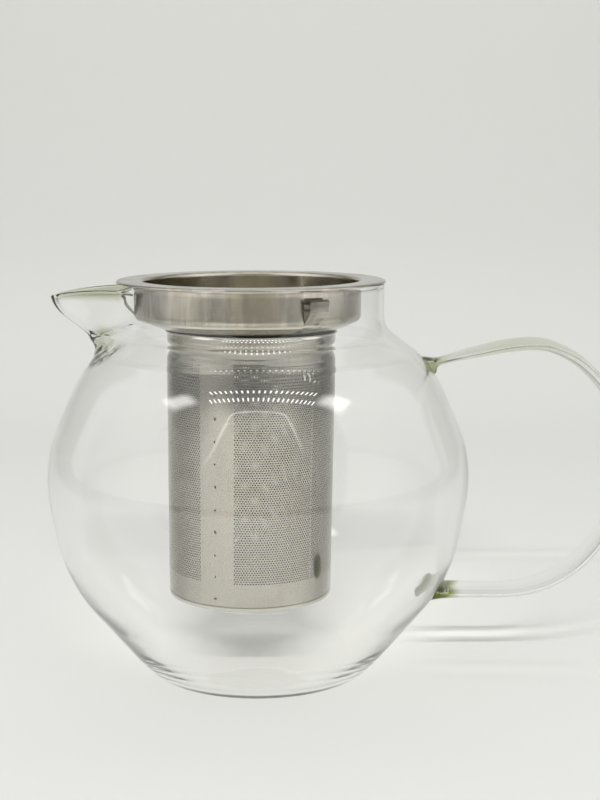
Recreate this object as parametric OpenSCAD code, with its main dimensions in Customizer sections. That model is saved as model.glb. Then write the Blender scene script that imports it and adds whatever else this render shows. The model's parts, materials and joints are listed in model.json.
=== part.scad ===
// Glass teapot with a lift-out stainless steel infuser.
// Millimetres, +Z up. The origin is the centre of the pot's base on the table, on the globe's
// axis. The handle points to +X and the spout to -X.

/* [Globe] */
// largest outer radius of the globe
globe_r = 71.2; // [68:0.2:75]
// height of the widest ring above the table
globe_z = 67; // [62:0.5:70]
// vertical half-axis above the widest ring
globe_up = 61; // [59:0.5:63]
// vertical half-axis below the widest ring
globe_down = 75; // [73:0.5:80]
// thickness of the globe wall
glass_t = 1.8; // [1.2:0.1:2.4]
// thickness of the base
base_t = 2.6; // [1.8:0.1:3.5]
// radius of the flat foot the pot stands on
foot_r = 33; // [31:0.5:35]

/* [Neck and spout] */
// outer radius of the neck
neck_r = 42.2; // [41.8:0.1:43]
// thickness of the neck wall
neck_t = 2; // [1.6:0.1:2.2]
// height of the neck rim
rim_z = 132.87; // [132:0.01:132.88]
// distance of the spout tip from the globe axis
spout_reach = 69.5; // [62:0.5:74]
// half-angle of the spout's V, seen from above
spout_half = 27; // [24:0.5:32]
// how far the rim drops at the spout tip
spout_drop = 4.6; // [3:0.2:8]

/* [Handle] */
// width of the glass ribbon
handle_w = 17; // [12:0.5:20]
// thickness of the glass ribbon
handle_t = 3.2; // [2.6:0.1:4.5]

/* [Infuser collar] */
// height of the flange top
flange_z = 133.5; // [133.49:0.01:134]
// distance of the infuser axis from the globe axis, towards the spout
infuser_shift = 2.3; // [2:0.1:2.4]
// flange radius
flange_r = 45; // [44.8:0.1:46]
// thickness of the pressed sheet
sheet_t = 0.6; // [0.4:0.05:0.6]
// inner radius of the straight collar wall
mouth_r = 36.2; // [35.8:0.1:36.4]
// depth of the straight collar wall below the flange top
wall_depth = 11; // [10.5:0.1:11.5]

/* [Spring fingers] */
// width of each finger
finger_w = 6.6; // [5:0.2:6.8]
// sheet thickness of each finger
finger_t = 0.5; // [0.3:0.05:0.5]
// reach of the relaxed finger in the spout opening, from the infuser axis
reach_free = 42.6; // [40.6:0.1:43]
// reach of the front finger, which stands against the neck
reach_held = 40.4; // [39.6:0.1:40.6]
// direction of the front finger, degrees from -Y towards +X
finger_az = 33.5; // [30:0.5:38]
// gap on each side of a finger in its window
finger_gap = 0.15; // [0.15:0.05:0.4]

/* [Basket] */
// outer radius of the tube at the top
tube_top_r = 28.37; // [28:0.01:28.5]
// outer radius of the tube at the bottom
tube_bottom_r = 27.75; // [27.2:0.05:28]
// sheet thickness of the tube
tube_t = 0.35; // [0.25:0.05:0.4]
// depth of the basket's underside below the flange top
basket_depth = 107.1; // [95:0.5:110]
// lean of the basket out of square with the collar, degrees
basket_lean = 0.6; // [0:0.1:0.8]
// direction of the welded seam, degrees from -Y towards +X
seam_az = -22.3; // [-30:0.5:-15]
// spacing of the seam's spot welds
weld_pitch = 7.49; // [6:0.1:7.6]
// number of spot welds
weld_count = 11; // [5:1:11]
// radius of a spot weld
weld_r = 0.55; // [0.3:0.05:0.8]

/* [Hidden] */

// ---- glass ----
SHOULDER_POW = 2.05;            // power of the upper half's superellipse
CORNER_Z = 12;                  // below this the globe rounds into the base ring
JOIN_Z = 114.2;                 // above this the globe fillets into the neck
NECK_Z = 118.6;                 // the neck is straight above this
SPOUT_Z = 106;                  // the spout starts to leave the globe here
inner_r = neck_r - neck_t;
// radius the spout adds over the plain body, against height
SPOUT_ADD = [[SPOUT_Z, 0], [108, 0.9], [111, 4.1], [114.2, 9.4], [118.6, 16.1],
             [124, 22.8], [129.6, 26.5], [rim_z, 27.3]];
spout_len = spout_reach - neck_r;
SPOUT_TOP = 27.3;
TIP_ROUND = 4;                  // angle over which the tip is rounded, degrees
FILLET = 3;                     // softness of the corner between the V and the neck
RING_STEPS = 32;                // columns over the plain part of the ring
SPOUT_STEPS = 40;               // columns over the spout

// ---- infuser ----
CONE_TOP = [34.4, -13.6];       // the sloping shoulder, mid-sheet, from flange top
CONE_END = [28.9, -16.02];
NECK_END = -18.9;
LIP_TOP = -16.55;
WINDOW_TOP = -3.6;              // top edge of a finger window
ROOT_R = 30.2;                  // finger root from the infuser axis
ROOT_GAP = 0.33;                // from the root axis to the collar's cut edge
GROOVE_Z = -24.4;
CAP_WALL = 3.4;                 // height of the bottom cap's upturned wall
CAP_EDGE = 0.9;                 // height of the cap's outer edge below the tube
root_z = CONE_END[1] + (ROOT_R - CONE_END[0]) * (CONE_TOP[1] - CONE_END[1])
         / (CONE_TOP[0] - CONE_END[0]);
wall_r = mouth_r + sheet_t / 2; // mid-sheet radius of the collar wall

GLASS = [0.86, 0.92, 0.86, 0.35];
STEEL = [0.72, 0.70, 0.66];

// ---- helpers ----
function arc(c, r, a0, a1, n) = [for (i = [0:n]) let (a = a0 + (a1 - a0) * i / n)
    c + r * [cos(a), sin(a)]];
function unit(v) = v / norm(v);
function left(v) = [-v[1], v[0]];
// mitred offset of the path p by d at point i
function shifted(p, i, d) = let (
    n = len(p),
    a = left(unit(p[min(i, n - 2) + 1] - p[min(i, n - 2)])),
    b = left(unit(p[max(i, 1)] - p[max(i, 1) - 1])),
    m = unit(a + b))
    p[i] + m * d / (m * a);
// outline of a sheet of thickness t along the mid-line p
function sheet(p, t) = concat(
    [for (i = [0:len(p) - 1]) shifted(p, i, t / 2)],
    [for (i = [len(p) - 1:-1:0]) shifted(p, i, -t / 2)]);
function catmull(a, b, c, d, t) = 0.5 * (2 * b + (c - a) * t + (2 * a - 5 * b + 4 * c - d) * t * t
    + (3 * b - a - 3 * c + d) * t * t * t);
// smooth path through the points p, n steps between each pair
function smooth(p, n) = let (m = len(p) - 1) concat(
    [for (i = [0:m - 1], k = [0:n - 1])
        catmull(p[max(i - 1, 0)], p[i], p[i + 1], p[min(i + 2, m)], k / n)],
    [p[m]]);

// ---- glass body: one closed grid of rings and columns ----
function globe_out(z, d) = z > globe_z
    ? (globe_r - d) * pow(1 - pow((z - globe_z) / (globe_up - d), SHOULDER_POW), 1 / SHOULDER_POW)
    : (globe_r - d) * sqrt(1 - pow((z - globe_z) / (globe_down - d), 2));
// quadratic curve from a to c, drawn towards b
function bend(a, b, c, n) = [for (i = [0:n]) let (t = i / n)
    (1 - t) * (1 - t) * a + 2 * t * (1 - t) * b + t * t * c];

// radius at which the globe's tangent at the corner height meets the table
corner_r = globe_out(CORNER_Z, 0)
           - CORNER_Z * (globe_out(CORNER_Z + 0.5, 0) - globe_out(CORNER_Z - 0.5, 0));
outer_side = concat(
    [[foot_r * 0.35, 0], [foot_r * 0.7, 0]],
    bend([foot_r, 0], [corner_r, 0], [globe_out(CORNER_Z, 0), CORNER_Z], 5),
    [for (z = [17, 24, 32, 41, 50, 60, 69, 78, 87, 95, 102, 107, 111])
        [globe_out(z, 0), z]],
    bend([globe_out(JOIN_Z, 0), JOIN_Z], [neck_r, 116.4], [neck_r, NECK_Z], 4),
    [for (z = [121, 124, 127, 129.6]) [neck_r, z]],
    arc([neck_r - neck_t / 2, rim_z - neck_t / 2], neck_t / 2, 0, 90, 3));
inner_side = concat(
    arc([neck_r - neck_t / 2, rim_z - neck_t / 2], neck_t / 2, 120, 180, 2),
    [for (z = [129.6, 127, 124, 121]) [inner_r, z]],
    bend([inner_r, NECK_Z - 0.6], [inner_r, 115.2], [globe_out(112.2, glass_t), 112.2], 4),
    [for (z = [109, 104, 98, 90, 80, 69, 58, 47, 37, 28, 20])
        [globe_out(z, glass_t), z]],
    bend([globe_out(CORNER_Z + 1, glass_t), CORNER_Z + 1], [corner_r + 1, base_t],
         [foot_r * 0.78, base_t], 4),
    [[foot_r * 0.35, base_t]]);
rings = concat(outer_side, inner_side);

plain_from = 90 - spout_half;   // the spout leaves the ring untouched beyond this angle
azimuths = concat(
    [for (i = [0:SPOUT_STEPS - 1]) -plain_from + 2 * plain_from * i / SPOUT_STEPS],
    [for (i = [0:RING_STEPS - 1]) plain_from + (360 - 2 * plain_from) * i / RING_STEPS]);
// how far the V's side stands outside the neck at an angle from -X
function outside(a) = let (e = sqrt(a * a + TIP_ROUND * TIP_ROUND) - TIP_ROUND)
    spout_reach * sin(spout_half) / sin(min(spout_half + e, 90)) - neck_r;
function soft(u) = (u + sqrt(u * u + FILLET * FILLET)) / 2;
// share of the spout at an angle from -X: 1 at the tip, 0 on the plain ring
function spread(a) = let (b = abs(a > 180 ? a - 360 : a))
    b >= plain_from ? 0
    : (soft(outside(b)) - soft(outside(90))) / (soft(spout_len) - soft(outside(90)));
// share of the rim's drop: a step where the spout leaves the neck, the rest near the tip
function drop(w) = let (t = min(1, w / 0.25)) 0.45 * t * t * (3 - 2 * t) + 0.55 * w * w * w;
function place(p, a) = let (
    w = p[1] <= SPOUT_Z ? 0 : spread(a),
    r = p[0] + lookup(p[1], SPOUT_ADD) * spout_len / SPOUT_TOP * w,
    z = p[1] - spout_drop * drop(w) * max(0, p[1] - SPOUT_Z) / (rim_z - SPOUT_Z))
    [-r * cos(a), r * sin(a), z];

module glass_body() {
    n = len(azimuths);
    m = len(rings);
    points = concat([for (p = rings, a = azimuths) place(p, a)],
                    [[0, 0, 0], [0, 0, base_t]]);
    sides = [for (i = [0:m - 2], j = [0:n - 1], s = [0, 1]) let (k = (j + 1) % n)
        s == 0 ? [i * n + j, (i + 1) * n + j, (i + 1) * n + k]
               : [i * n + j, (i + 1) * n + k, i * n + k]];
    under = [for (j = [0:n - 1]) [m * n, j, (j + 1) % n]];
    inside = [for (j = [0:n - 1]) [m * n + 1, (m - 1) * n + (j + 1) % n, (m - 1) * n + j]];
    color(GLASS) polyhedron(points, concat(sides, under, inside), convexity = 8);
}

// ---- handle ----
HANDLE_PATH = [[56, 103.4], [63.2, 106.4], [74.7, 109.2], [83, 110.7], [91.5, 111.8],
    [98.6, 110.9], [107.5, 106.4], [115.6, 98.2], [122, 86.5], [125.3, 72], [123.4, 58],
    [117.3, 46], [109.6, 36.6], [101, 30.6], [93, 27.6], [85, 26.4], [76, 26.2], [58.4, 26.2]];

module glass_handle() {
    color(GLASS) rotate([90, 0, 0])
        linear_extrude(height = handle_w, center = true)
            polygon(sheet(smooth(HANDLE_PATH, 4), handle_t));
}

// ---- infuser ----
module at_infuser() {
    translate([-infuser_shift, 0, flange_z]) children();
}

// turns +X to the direction az, in degrees from -Y towards +X
module facing(az) {
    rotate([0, 0, az - 90]) children();
}

// a flat strip of the given width whose outline lies in the radial plane
module radial_strip(outline, width) {
    rotate([90, 0, 0]) linear_extrude(height = width, center = true) polygon(outline);
}

collar_path = concat(
    [[flange_r - sheet_t / 2, -0.9], [flange_r - sheet_t / 2, -0.62],
     [flange_r - sheet_t / 2 - 0.35, -sheet_t / 2]],
    arc([wall_r + 0.8, -sheet_t / 2 - 0.8], 0.8, 90, 180, 4),
    bend([wall_r, -wall_depth], [wall_r, -13], CONE_TOP, 4),
    bend(CONE_END, [tube_top_r - tube_t - sheet_t / 2, -16.5],
         [tube_top_r - tube_t - sheet_t / 2, -17.3], 3),
    [[tube_top_r - tube_t - sheet_t / 2, NECK_END]]);

finger_dirs = [finger_az - 120, finger_az];

module window() {
    radial_strip([[ROOT_R - ROOT_GAP, root_z - 3], [ROOT_R - ROOT_GAP, root_z + 2.2],
                  [ROOT_R + 1, WINDOW_TOP], [wall_r + 2, WINDOW_TOP], [wall_r + 2, root_z - 3]],
                 finger_w + 2 * finger_gap);
}

module infuser_collar() {
    color(STEEL) at_infuser() difference() {
        rotate_extrude($fn = 128) polygon(sheet(collar_path, sheet_t));
        for (a = finger_dirs) facing(a) window();
    }
}

// mid-line of a finger from its root to its hooked tip
function finger_path(reach) = let (k = (reach - finger_t / 2 - wall_r) / 5.75) concat(
    [[ROOT_R, root_z], [ROOT_R + 2.8, root_z + 1.22], [35.2, -12.95]],
    [for (p = [[0.9, -11.45], [2.1, -10.4], [3.3, -9.2], [3.85, -8], [4.1, -6.9], [4.5, -6],
               [5.3, -5.3], [5.75, -4.85], [5.4, -4.42], [4.4, -4.36], [1.3, -4.9]])
        [wall_r + p[0] * k, p[1]]]);

module finger(az, reach) {
    color(STEEL) at_infuser() facing(az) union() {
        radial_strip(sheet(finger_path(reach), finger_t), finger_w);
        translate([ROOT_R, 0, root_z]) rotate([90, 0, 0])
            cylinder(r = finger_t / 2, h = finger_w, center = true, $fn = 48);
    }
}

module finger_spout() { finger(finger_dirs[0], reach_free); }
module finger_front() { finger(finger_dirs[1], reach_held); }

// ---- basket ----
// the basket hangs from the collar, leaning about the middle of its lip
module at_basket() {
    at_infuser() translate([0, 0, LIP_TOP]) rotate([0, basket_lean, 0])
        translate([0, 0, -LIP_TOP]) children();
}

tube_end = -basket_depth + CAP_EDGE;
tube_mid = tube_top_r - tube_t / 2;
function tube_r(z) = tube_top_r
    + (tube_bottom_r - tube_top_r) * (z - GROOVE_Z) / (tube_end - GROOVE_Z);
tube_path = [[tube_mid + 0.5, LIP_TOP - 0.1], [tube_mid + 0.5, LIP_TOP - 0.75],
    [tube_mid, LIP_TOP - 1.35], [tube_mid, GROOVE_Z + 2.2], [tube_mid - 0.45, GROOVE_Z + 1.1],
    [tube_mid - 0.9, GROOVE_Z], [tube_mid - 0.45, GROOVE_Z - 1.1], [tube_mid, GROOVE_Z - 2.2],
    [tube_bottom_r - tube_t / 2, tube_end]];

module basket_tube() {
    color(STEEL) at_basket() rotate_extrude($fn = 128) polygon(sheet(tube_path, tube_t));
}

cap_r = tube_bottom_r - tube_t;
module basket_bottom() {
    color(STEEL) at_basket() rotate_extrude($fn = 128) polygon([
        [0, -basket_depth], [tube_bottom_r - 0.45, -basket_depth],
        [tube_bottom_r, -basket_depth + 0.45], [tube_bottom_r, tube_end], [cap_r, tube_end],
        [cap_r, tube_end + CAP_WALL], [cap_r - 0.35, tube_end + CAP_WALL],
        [cap_r - 0.35, -basket_depth + 0.9], [cap_r - 0.85, -basket_depth + 0.4],
        [0, -basket_depth + 0.4]]);
}

module seam_welds() {
    color(STEEL) at_basket() for (k = [0:weld_count - 1]) let (z = tube_end + 3.5 + k * weld_pitch)
        facing(seam_az) translate([tube_r(z) - 0.25, 0, z]) rotate([0, 90, 0])
            cylinder(r = weld_r, h = 0.33, $fn = 24);
}

glass_body();
glass_handle();
infuser_collar();
finger_spout();
finger_front();
basket_tube();
basket_bottom();
seam_welds();
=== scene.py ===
import json
import math

import bmesh
import bpy
import numpy as np
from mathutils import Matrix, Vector

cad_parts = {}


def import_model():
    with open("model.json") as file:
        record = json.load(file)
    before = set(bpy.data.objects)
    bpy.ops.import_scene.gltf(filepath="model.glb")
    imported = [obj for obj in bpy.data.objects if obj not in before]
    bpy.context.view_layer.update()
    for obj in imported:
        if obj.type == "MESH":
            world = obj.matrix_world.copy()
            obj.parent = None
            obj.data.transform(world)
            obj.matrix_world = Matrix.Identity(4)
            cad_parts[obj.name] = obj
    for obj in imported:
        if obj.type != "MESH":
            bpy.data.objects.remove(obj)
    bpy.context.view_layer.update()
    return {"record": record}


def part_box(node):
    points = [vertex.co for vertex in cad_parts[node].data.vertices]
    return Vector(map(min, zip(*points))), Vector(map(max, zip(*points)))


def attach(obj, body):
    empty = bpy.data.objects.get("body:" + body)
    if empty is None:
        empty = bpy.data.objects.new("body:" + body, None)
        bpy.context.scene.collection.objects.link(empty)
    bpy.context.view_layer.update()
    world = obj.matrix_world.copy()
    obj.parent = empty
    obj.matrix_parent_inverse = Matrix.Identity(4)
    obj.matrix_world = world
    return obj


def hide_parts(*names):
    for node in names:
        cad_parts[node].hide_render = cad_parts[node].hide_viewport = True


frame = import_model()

# ------------------------------------------------------------------ the frame, in millimetres
MM = 0.001
RECORD = frame["record"]
MOUNTS = {m["name"]: m for m in RECORD["mounts"]}
JOINTS = {j["name"]: j for j in RECORD["behaviour"]["joints"]}


def node_box(name):
    lo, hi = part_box(name)
    return np.array(lo) / MM, np.array(hi) / MM


GLASS_LO, GLASS_HI = node_box("glass_body")
COLLAR_LO, COLLAR_HI = node_box("infuser_collar")
TUBE_LO, TUBE_HI = node_box("basket_tube")
CAP_LO, CAP_HI = node_box("basket_bottom")
HANDLE_LO, HANDLE_HI = node_box("glass_handle")

RIM_Z = GLASS_HI[2]                         # top of the neck
AXIS_X = MOUNTS["lid_seat"]["pos_m"][0] / MM    # the infuser's axis
MOUTH_R = MOUNTS["lid_seat"]["dims"]["r_mm"]    # inner radius of the collar wall
FLANGE_Z = MOUNTS["flange_top"]["pos_m"][2] / MM
FLANGE_R = (COLLAR_HI[0] - COLLAR_LO[0]) / 2
HANDLE_W = HANDLE_HI[1] - HANDLE_LO[1]
BASKET_DEPTH = FLANGE_Z - CAP_LO[2]


# ------------------------------------------------------------------ curves and meshes
def catmull(points, steps):
    """A smooth path through the points, with steps pieces between each pair."""
    p = np.array(points, float)
    p = np.vstack([2 * p[0] - p[1], p, 2 * p[-1] - p[-2]])
    t = np.linspace(0, 1, steps, endpoint=False)[:, None]
    out = []
    for a, b, c, d in zip(p, p[1:], p[2:], p[3:]):
        out.append(0.5 * (2 * b + (c - a) * t + (2 * a - 5 * b + 4 * c - d) * t ** 2
                          + (3 * b - a - 3 * c + d) * t ** 3))
    return np.vstack(out + [p[-2][None]])


def bend(a, b, c, n):
    """A quadratic curve from a to c, drawn towards b."""
    a, b, c = (np.array(v, float) for v in (a, b, c))
    t = np.linspace(0, 1, n + 1)[:, None]
    return (1 - t) ** 2 * a + 2 * t * (1 - t) * b + t ** 2 * c


def arc(centre, r, a0, a1, n):
    a = np.radians(np.linspace(a0, a1, n + 1))
    return np.array(centre) + r * np.c_[np.cos(a), np.sin(a)]


def line(a, b, n):
    t = np.linspace(0, 1, n + 1)[:, None]
    return np.array(a, float) * (1 - t) + np.array(b, float) * t


def join(*paths):
    """Paths end to end, with repeated points dropped."""
    p = np.vstack([np.atleast_2d(np.array(q, float)) for q in paths])
    keep = np.r_[True, np.hypot(*np.diff(p, axis=0).T) > 1e-4]
    return p[keep]


def left_normals(path):
    d = np.gradient(path, axis=0)
    d /= np.linalg.norm(d, axis=1)[:, None]
    return np.c_[-d[:, 1], d[:, 0]]


def sheet_loop(path, t):
    """Closed outline of a sheet of thickness t along path, with rounded ends."""
    n = left_normals(path)
    a, b = path + n * t / 2, path - n * t / 2
    ends = []
    for end, nn, s in ((path[-1], n[-1], 1), (path[0], -n[0], 1)):
        d = np.array([nn[1], -nn[0]])
        for k in (0.25, 0.5, 0.75):
            ends.append(end + t / 2 * (nn * math.cos(math.pi * k) + d * math.sin(math.pi * k)))
    return np.vstack([a, ends[:3], b[::-1], ends[3:]])


def mesh_object(name, verts, quads, tris=None, sharp=50):
    """An object from vertices in millimetres and index arrays."""
    me = bpy.data.meshes.new(name)
    verts = np.asarray(verts, float) * MM
    quads = np.asarray(quads, np.int32).reshape(-1, 4)
    tris = np.asarray(tris if tris is not None else [], np.int32).reshape(-1, 3)
    me.vertices.add(len(verts))
    me.vertices.foreach_set("co", verts.ravel().astype(np.float32))
    loops = np.concatenate([quads.ravel(), tris.ravel()]).astype(np.int32)
    me.loops.add(len(loops))
    me.loops.foreach_set("vertex_index", loops)
    starts = np.concatenate([np.arange(len(quads)) * 4,
                             len(quads) * 4 + np.arange(len(tris)) * 3]).astype(np.int32)
    me.polygons.add(len(starts))
    me.polygons.foreach_set("loop_start", starts)
    me.update(calc_edges=True)
    me.validate()
    me.shade_smooth()
    if sharp:
        me.set_sharp_from_angle(angle=math.radians(sharp))
    ob = bpy.data.objects.new(name, me)
    bpy.context.scene.collection.objects.link(ob)
    return ob


def grid_quads(rows, cols, close_rows=False, close_cols=False):
    """Index quads over a rows x cols grid of vertices."""
    i = np.arange(rows if close_rows else rows - 1)[:, None]
    j = np.arange(cols if close_cols else cols - 1)[None, :]
    i2, j2 = (i + 1) % rows, (j + 1) % cols
    a, b, c, d = (x + 0 * y for x, y in ((i * cols + j, i + j), (i * cols + j2, i + j),
                                         (i2 * cols + j2, i + j), (i2 * cols + j, i + j)))
    return np.stack([a, b, c, d], -1).reshape(-1, 4)


def fans(rings, n):
    """Index triangles that close the first and the last ring of a grid of rings of n, each to
    a middle vertex that follows the grid."""
    j = np.arange(n)
    turn = (j + 1) % n
    last = (rings - 1) * n
    return np.vstack([np.c_[np.full(n, rings * n), turn, j],
                      np.c_[np.full(n, rings * n + 1), last + j, last + turn]])


def around(r, theta, z):
    """Points about the infuser's axis, with heights from the flange's top."""
    return np.stack(np.broadcast_arrays(AXIS_X + r * np.cos(theta), r * np.sin(theta),
                                        FLANGE_Z + z), -1)


def outward(ob):
    """Turns every face of a closed mesh outward."""
    bm = bmesh.new()
    bm.from_mesh(ob.data)
    bmesh.ops.recalc_face_normals(bm, faces=bm.faces)
    bm.to_mesh(ob.data)
    bm.free()
    return ob


def finish_piece(ob, body, slot, material, *nodes):
    ob.data.materials.clear()
    ob.data.materials.append(material)
    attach(ob, body)
    if nodes:
        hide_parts(*nodes)
    return ob


# ------------------------------------------------------------------ node helpers
class Tree:
    """A short way to write a node tree."""

    def __init__(self, owner):
        owner.use_nodes = True
        self.nt = owner.node_tree
        self.nt.nodes.clear()

    def node(self, kind, _out=0, **inputs):
        """A node's output. i0=, i1= ... set inputs by place, other keywords by name."""
        n = self.nt.nodes.new(kind)
        for k, v in inputs.items():
            key = int(k[1:]) if k[0] == "i" and k[1:].isdigit() else k.replace("_", " ")
            self.plug(n.inputs[key], v)
        return n.outputs[_out]

    def plug(self, socket, v):
        if isinstance(v, bpy.types.NodeSocket):
            self.nt.links.new(v, socket)
        else:
            socket.default_value = v

    def math(self, op, a, b=0.0, clamp=False):
        n = self.nt.nodes.new("ShaderNodeMath")
        n.operation, n.use_clamp = op, clamp
        self.plug(n.inputs[0], a)
        self.plug(n.inputs[1], b)
        return n.outputs[0]

    def mul(self, a, b):
        return self.math("MULTIPLY", a, b)

    def add(self, a, b, clamp=False):
        return self.math("ADD", a, b, clamp=clamp)

    def sub(self, a, b):
        return self.math("SUBTRACT", a, b)

    def div(self, a, b):
        return self.math("DIVIDE", a, b)

    def abs(self, a):
        return self.math("ABSOLUTE", a)

    def xyz(self, v):
        """The three parts of a vector."""
        n = self.nt.nodes.new("ShaderNodeSeparateXYZ")
        self.plug(n.inputs[0], v)
        return n.outputs

    def vmath(self, op, a, b=(0, 0, 0), out=0):
        n = self.nt.nodes.new("ShaderNodeVectorMath")
        n.operation = op
        self.plug(n.inputs[0], a)
        self.plug(n.inputs[1], b)
        return n.outputs[out]

    def mix(self, fac, a, b):
        n = self.nt.nodes.new("ShaderNodeMix")
        n.data_type = "RGBA"
        self.plug(n.inputs[0], fac)
        self.plug(n.inputs[6], a)
        self.plug(n.inputs[7], b)
        return n.outputs[2]

    def span(self, v, lo, hi, to_lo=0.0, to_hi=1.0, smooth=True):
        n = self.nt.nodes.new("ShaderNodeMapRange")
        n.interpolation_type = "SMOOTHSTEP" if smooth else "LINEAR"
        for s, x in zip(n.inputs, (v, lo, hi, to_lo, to_hi)):
            self.plug(s, x)
        return n.outputs[0]

    def within(self, v, centre, half, edge):
        """1 within half of centre, falling to 0 over a soft edge on either side."""
        return self.span(self.abs(self.sub(v, centre)), half + edge, half - edge)

    def noise(self, vector, scale, detail=2.0, rough=0.5, distortion=0.0):
        return self.node("ShaderNodeTexNoise", Vector=vector, Scale=scale, Detail=detail,
                         Roughness=rough, Distortion=distortion)

    def bump(self, height, strength, distance, normal=None):
        kw = {"Normal": normal} if normal is not None else {}
        return self.node("ShaderNodeBump", Height=height, Strength=strength,
                         Distance=distance, **kw)

    def light_path(self):
        return self.nt.nodes.new("ShaderNodeLightPath").outputs

    def place(self):
        """The point in the shared frame, in metres."""
        return self.node("ShaderNodeTexCoord", 3)

    def near(self, point, centre, radius):
        """1 at centre (mm), falling to 0 at radius (mm)."""
        d = self.vmath("DISTANCE", point, tuple(c * MM for c in centre), out=1)
        return self.span(d, 0.0, radius * MM, 1.0, 0.0)


def rgba(r, g, b):
    return (r, g, b, 1.0)


BLACK = rgba(0, 0, 0)


# ------------------------------------------------------------------ materials
GLASS_IOR = 1.474
# painted reflections of the roof lamps, emitted by the glass itself: their lamps and hems follow
# height of the lamps' mirror plane, and the lamps' middle (mm)
ROOF_Z = 455
LAMP_X = 28
# y, half length, pitch, lamp width, lamp length, radiance
LAMP_ROWS = [(-212, 205, 19, 6, 34, 28), (-302, 225, 20, 6, 36, 28),
             (-84, 150, 15, 5, 14, 7), (-30, 150, 15, 5, 16, 10)]
# x, y, half width, half depth, soft edge, radiance
PANELS = [(-345, -250, 80, 50, 36, 13), (350, -250, 80, 50, 36, 13)]
# the hem over the tent's front opening: middle, depth, half width, bend of its ends, radiance
HEM_X, HEM_Y, HEM_HALF, HEM_BOW, HEM_RADIANCE = 14, -412, 165, 45, 5
HEM_SOFT = 11
# the hems beside the opening: angle from -Y (degrees), start, stop, radiance
HEMS = [(-20, 484, 800, 4), (20, 488, 660, 4)]
HEM_FLARE = 0.0022
# the painted lamp reflections show only for eyes farther away than this (mm)
GLINT_FROM = 60


def output(t, shader):
    t.nt.links.new(shader, t.nt.nodes.new("ShaderNodeOutputMaterial").inputs["Surface"])


def roof_point(t, normal, geo):
    """Where the mirrored line of sight meets the lamps' plane (mm), and its upward slant."""
    view = geo["Incoming"]
    n = t.vmath("DOT_PRODUCT", normal, view, out=1)
    twice = t.nt.nodes.new("ShaderNodeVectorMath")
    twice.operation = "SCALE"
    t.plug(twice.inputs[0], normal)
    t.plug(twice.inputs["Scale"], t.mul(n, 2.0))
    mx, my, mz = t.xyz(t.vmath("SUBTRACT", twice.outputs[0], view))
    px, py, pz = t.xyz(geo["Position"])
    reach = t.div(t.sub(ROOF_Z * MM, pz), t.math("MAXIMUM", mz, 0.02))
    return (t.div(t.add(px, t.mul(mx, reach)), MM), t.div(t.add(py, t.mul(my, reach)), MM), mz)


def lamp_row(t, x, y, row_y, half_len, pitch, width, length):
    """Painted reflection of a row of small lamps along X."""
    along = t.sub(x, LAMP_X)
    cell = t.math("FRACT", t.add(t.div(along, pitch), 100.5))
    off = t.mul(t.abs(t.sub(cell, 0.5)), pitch)
    mask = t.mul(t.span(off, width * 0.7, width * 0.3),
                 t.span(t.abs(along), half_len, half_len - 2))
    return t.mul(mask, t.span(t.abs(t.sub(y, row_y)), length * 0.6, length * 0.4))


def front_hem(t, x, y):
    """Painted reflection of the bowed bright hem over the tent's opening."""
    across = t.abs(t.sub(x, HEM_X))
    bow = t.mul(t.math("POWER", t.div(across, HEM_HALF), 6.0), HEM_BOW)
    off = t.abs(t.add(t.sub(y, HEM_Y), bow))
    return t.mul(t.span(off, HEM_SOFT, 0.0), t.span(across, HEM_HALF + 4, HEM_HALF - 4))


def side_hem(t, turn, radial, angle, start, stop):
    """Painted reflection of a bright hem beside the opening, running outward and fading."""
    flare = t.mul(t.sub(radial, start), angle * HEM_FLARE)
    off = t.abs(t.sub(t.sub(turn, flare), angle))
    return t.mul(t.span(off, 1.5, 0.4),
                 t.mul(t.span(radial, start - 8, start), t.span(radial, stop, start)))


def painted_lamp_glints(t, normal):
    """Painted reflection: brightness of the roof lamps mirrored in the outer face, which the glass
    emits itself: rows of small lamps, soft panels and the hems of the tent's opening."""
    geo = t.nt.nodes.new("ShaderNodeNewGeometry").outputs
    x, y, slant = roof_point(t, normal, geo)
    turn = t.math("DEGREES", t.math("ARCTAN2", t.sub(x, HEM_X), t.mul(y, -1.0)))
    radial = t.math("SQRT", t.add(t.mul(x, x), t.mul(y, y)))
    glints = [(lamp_row(t, x, y, *row[:-1]), row[-1]) for row in LAMP_ROWS]
    glints.append((front_hem(t, x, y), HEM_RADIANCE))
    glints += [(t.mul(t.within(x, px, hx, edge), t.within(y, py, hy, edge)), radiance)
               for px, py, hx, hy, edge, radiance in PANELS]
    glints += [(side_hem(t, turn, radial, *hem[:-1]), hem[-1]) for hem in HEMS]
    total = 0.0
    for mask, radiance in glints:
        total = t.add(t.mul(mask, radiance), total)
    front = t.sub(1.0, geo["Backfacing"])
    upward = t.span(slant, 0.05, 0.12)
    seen = t.math("GREATER_THAN", t.light_path()["Ray Length"], GLINT_FROM * MM)
    return t.mul(t.mul(total, front), t.mul(upward, seen))


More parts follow.
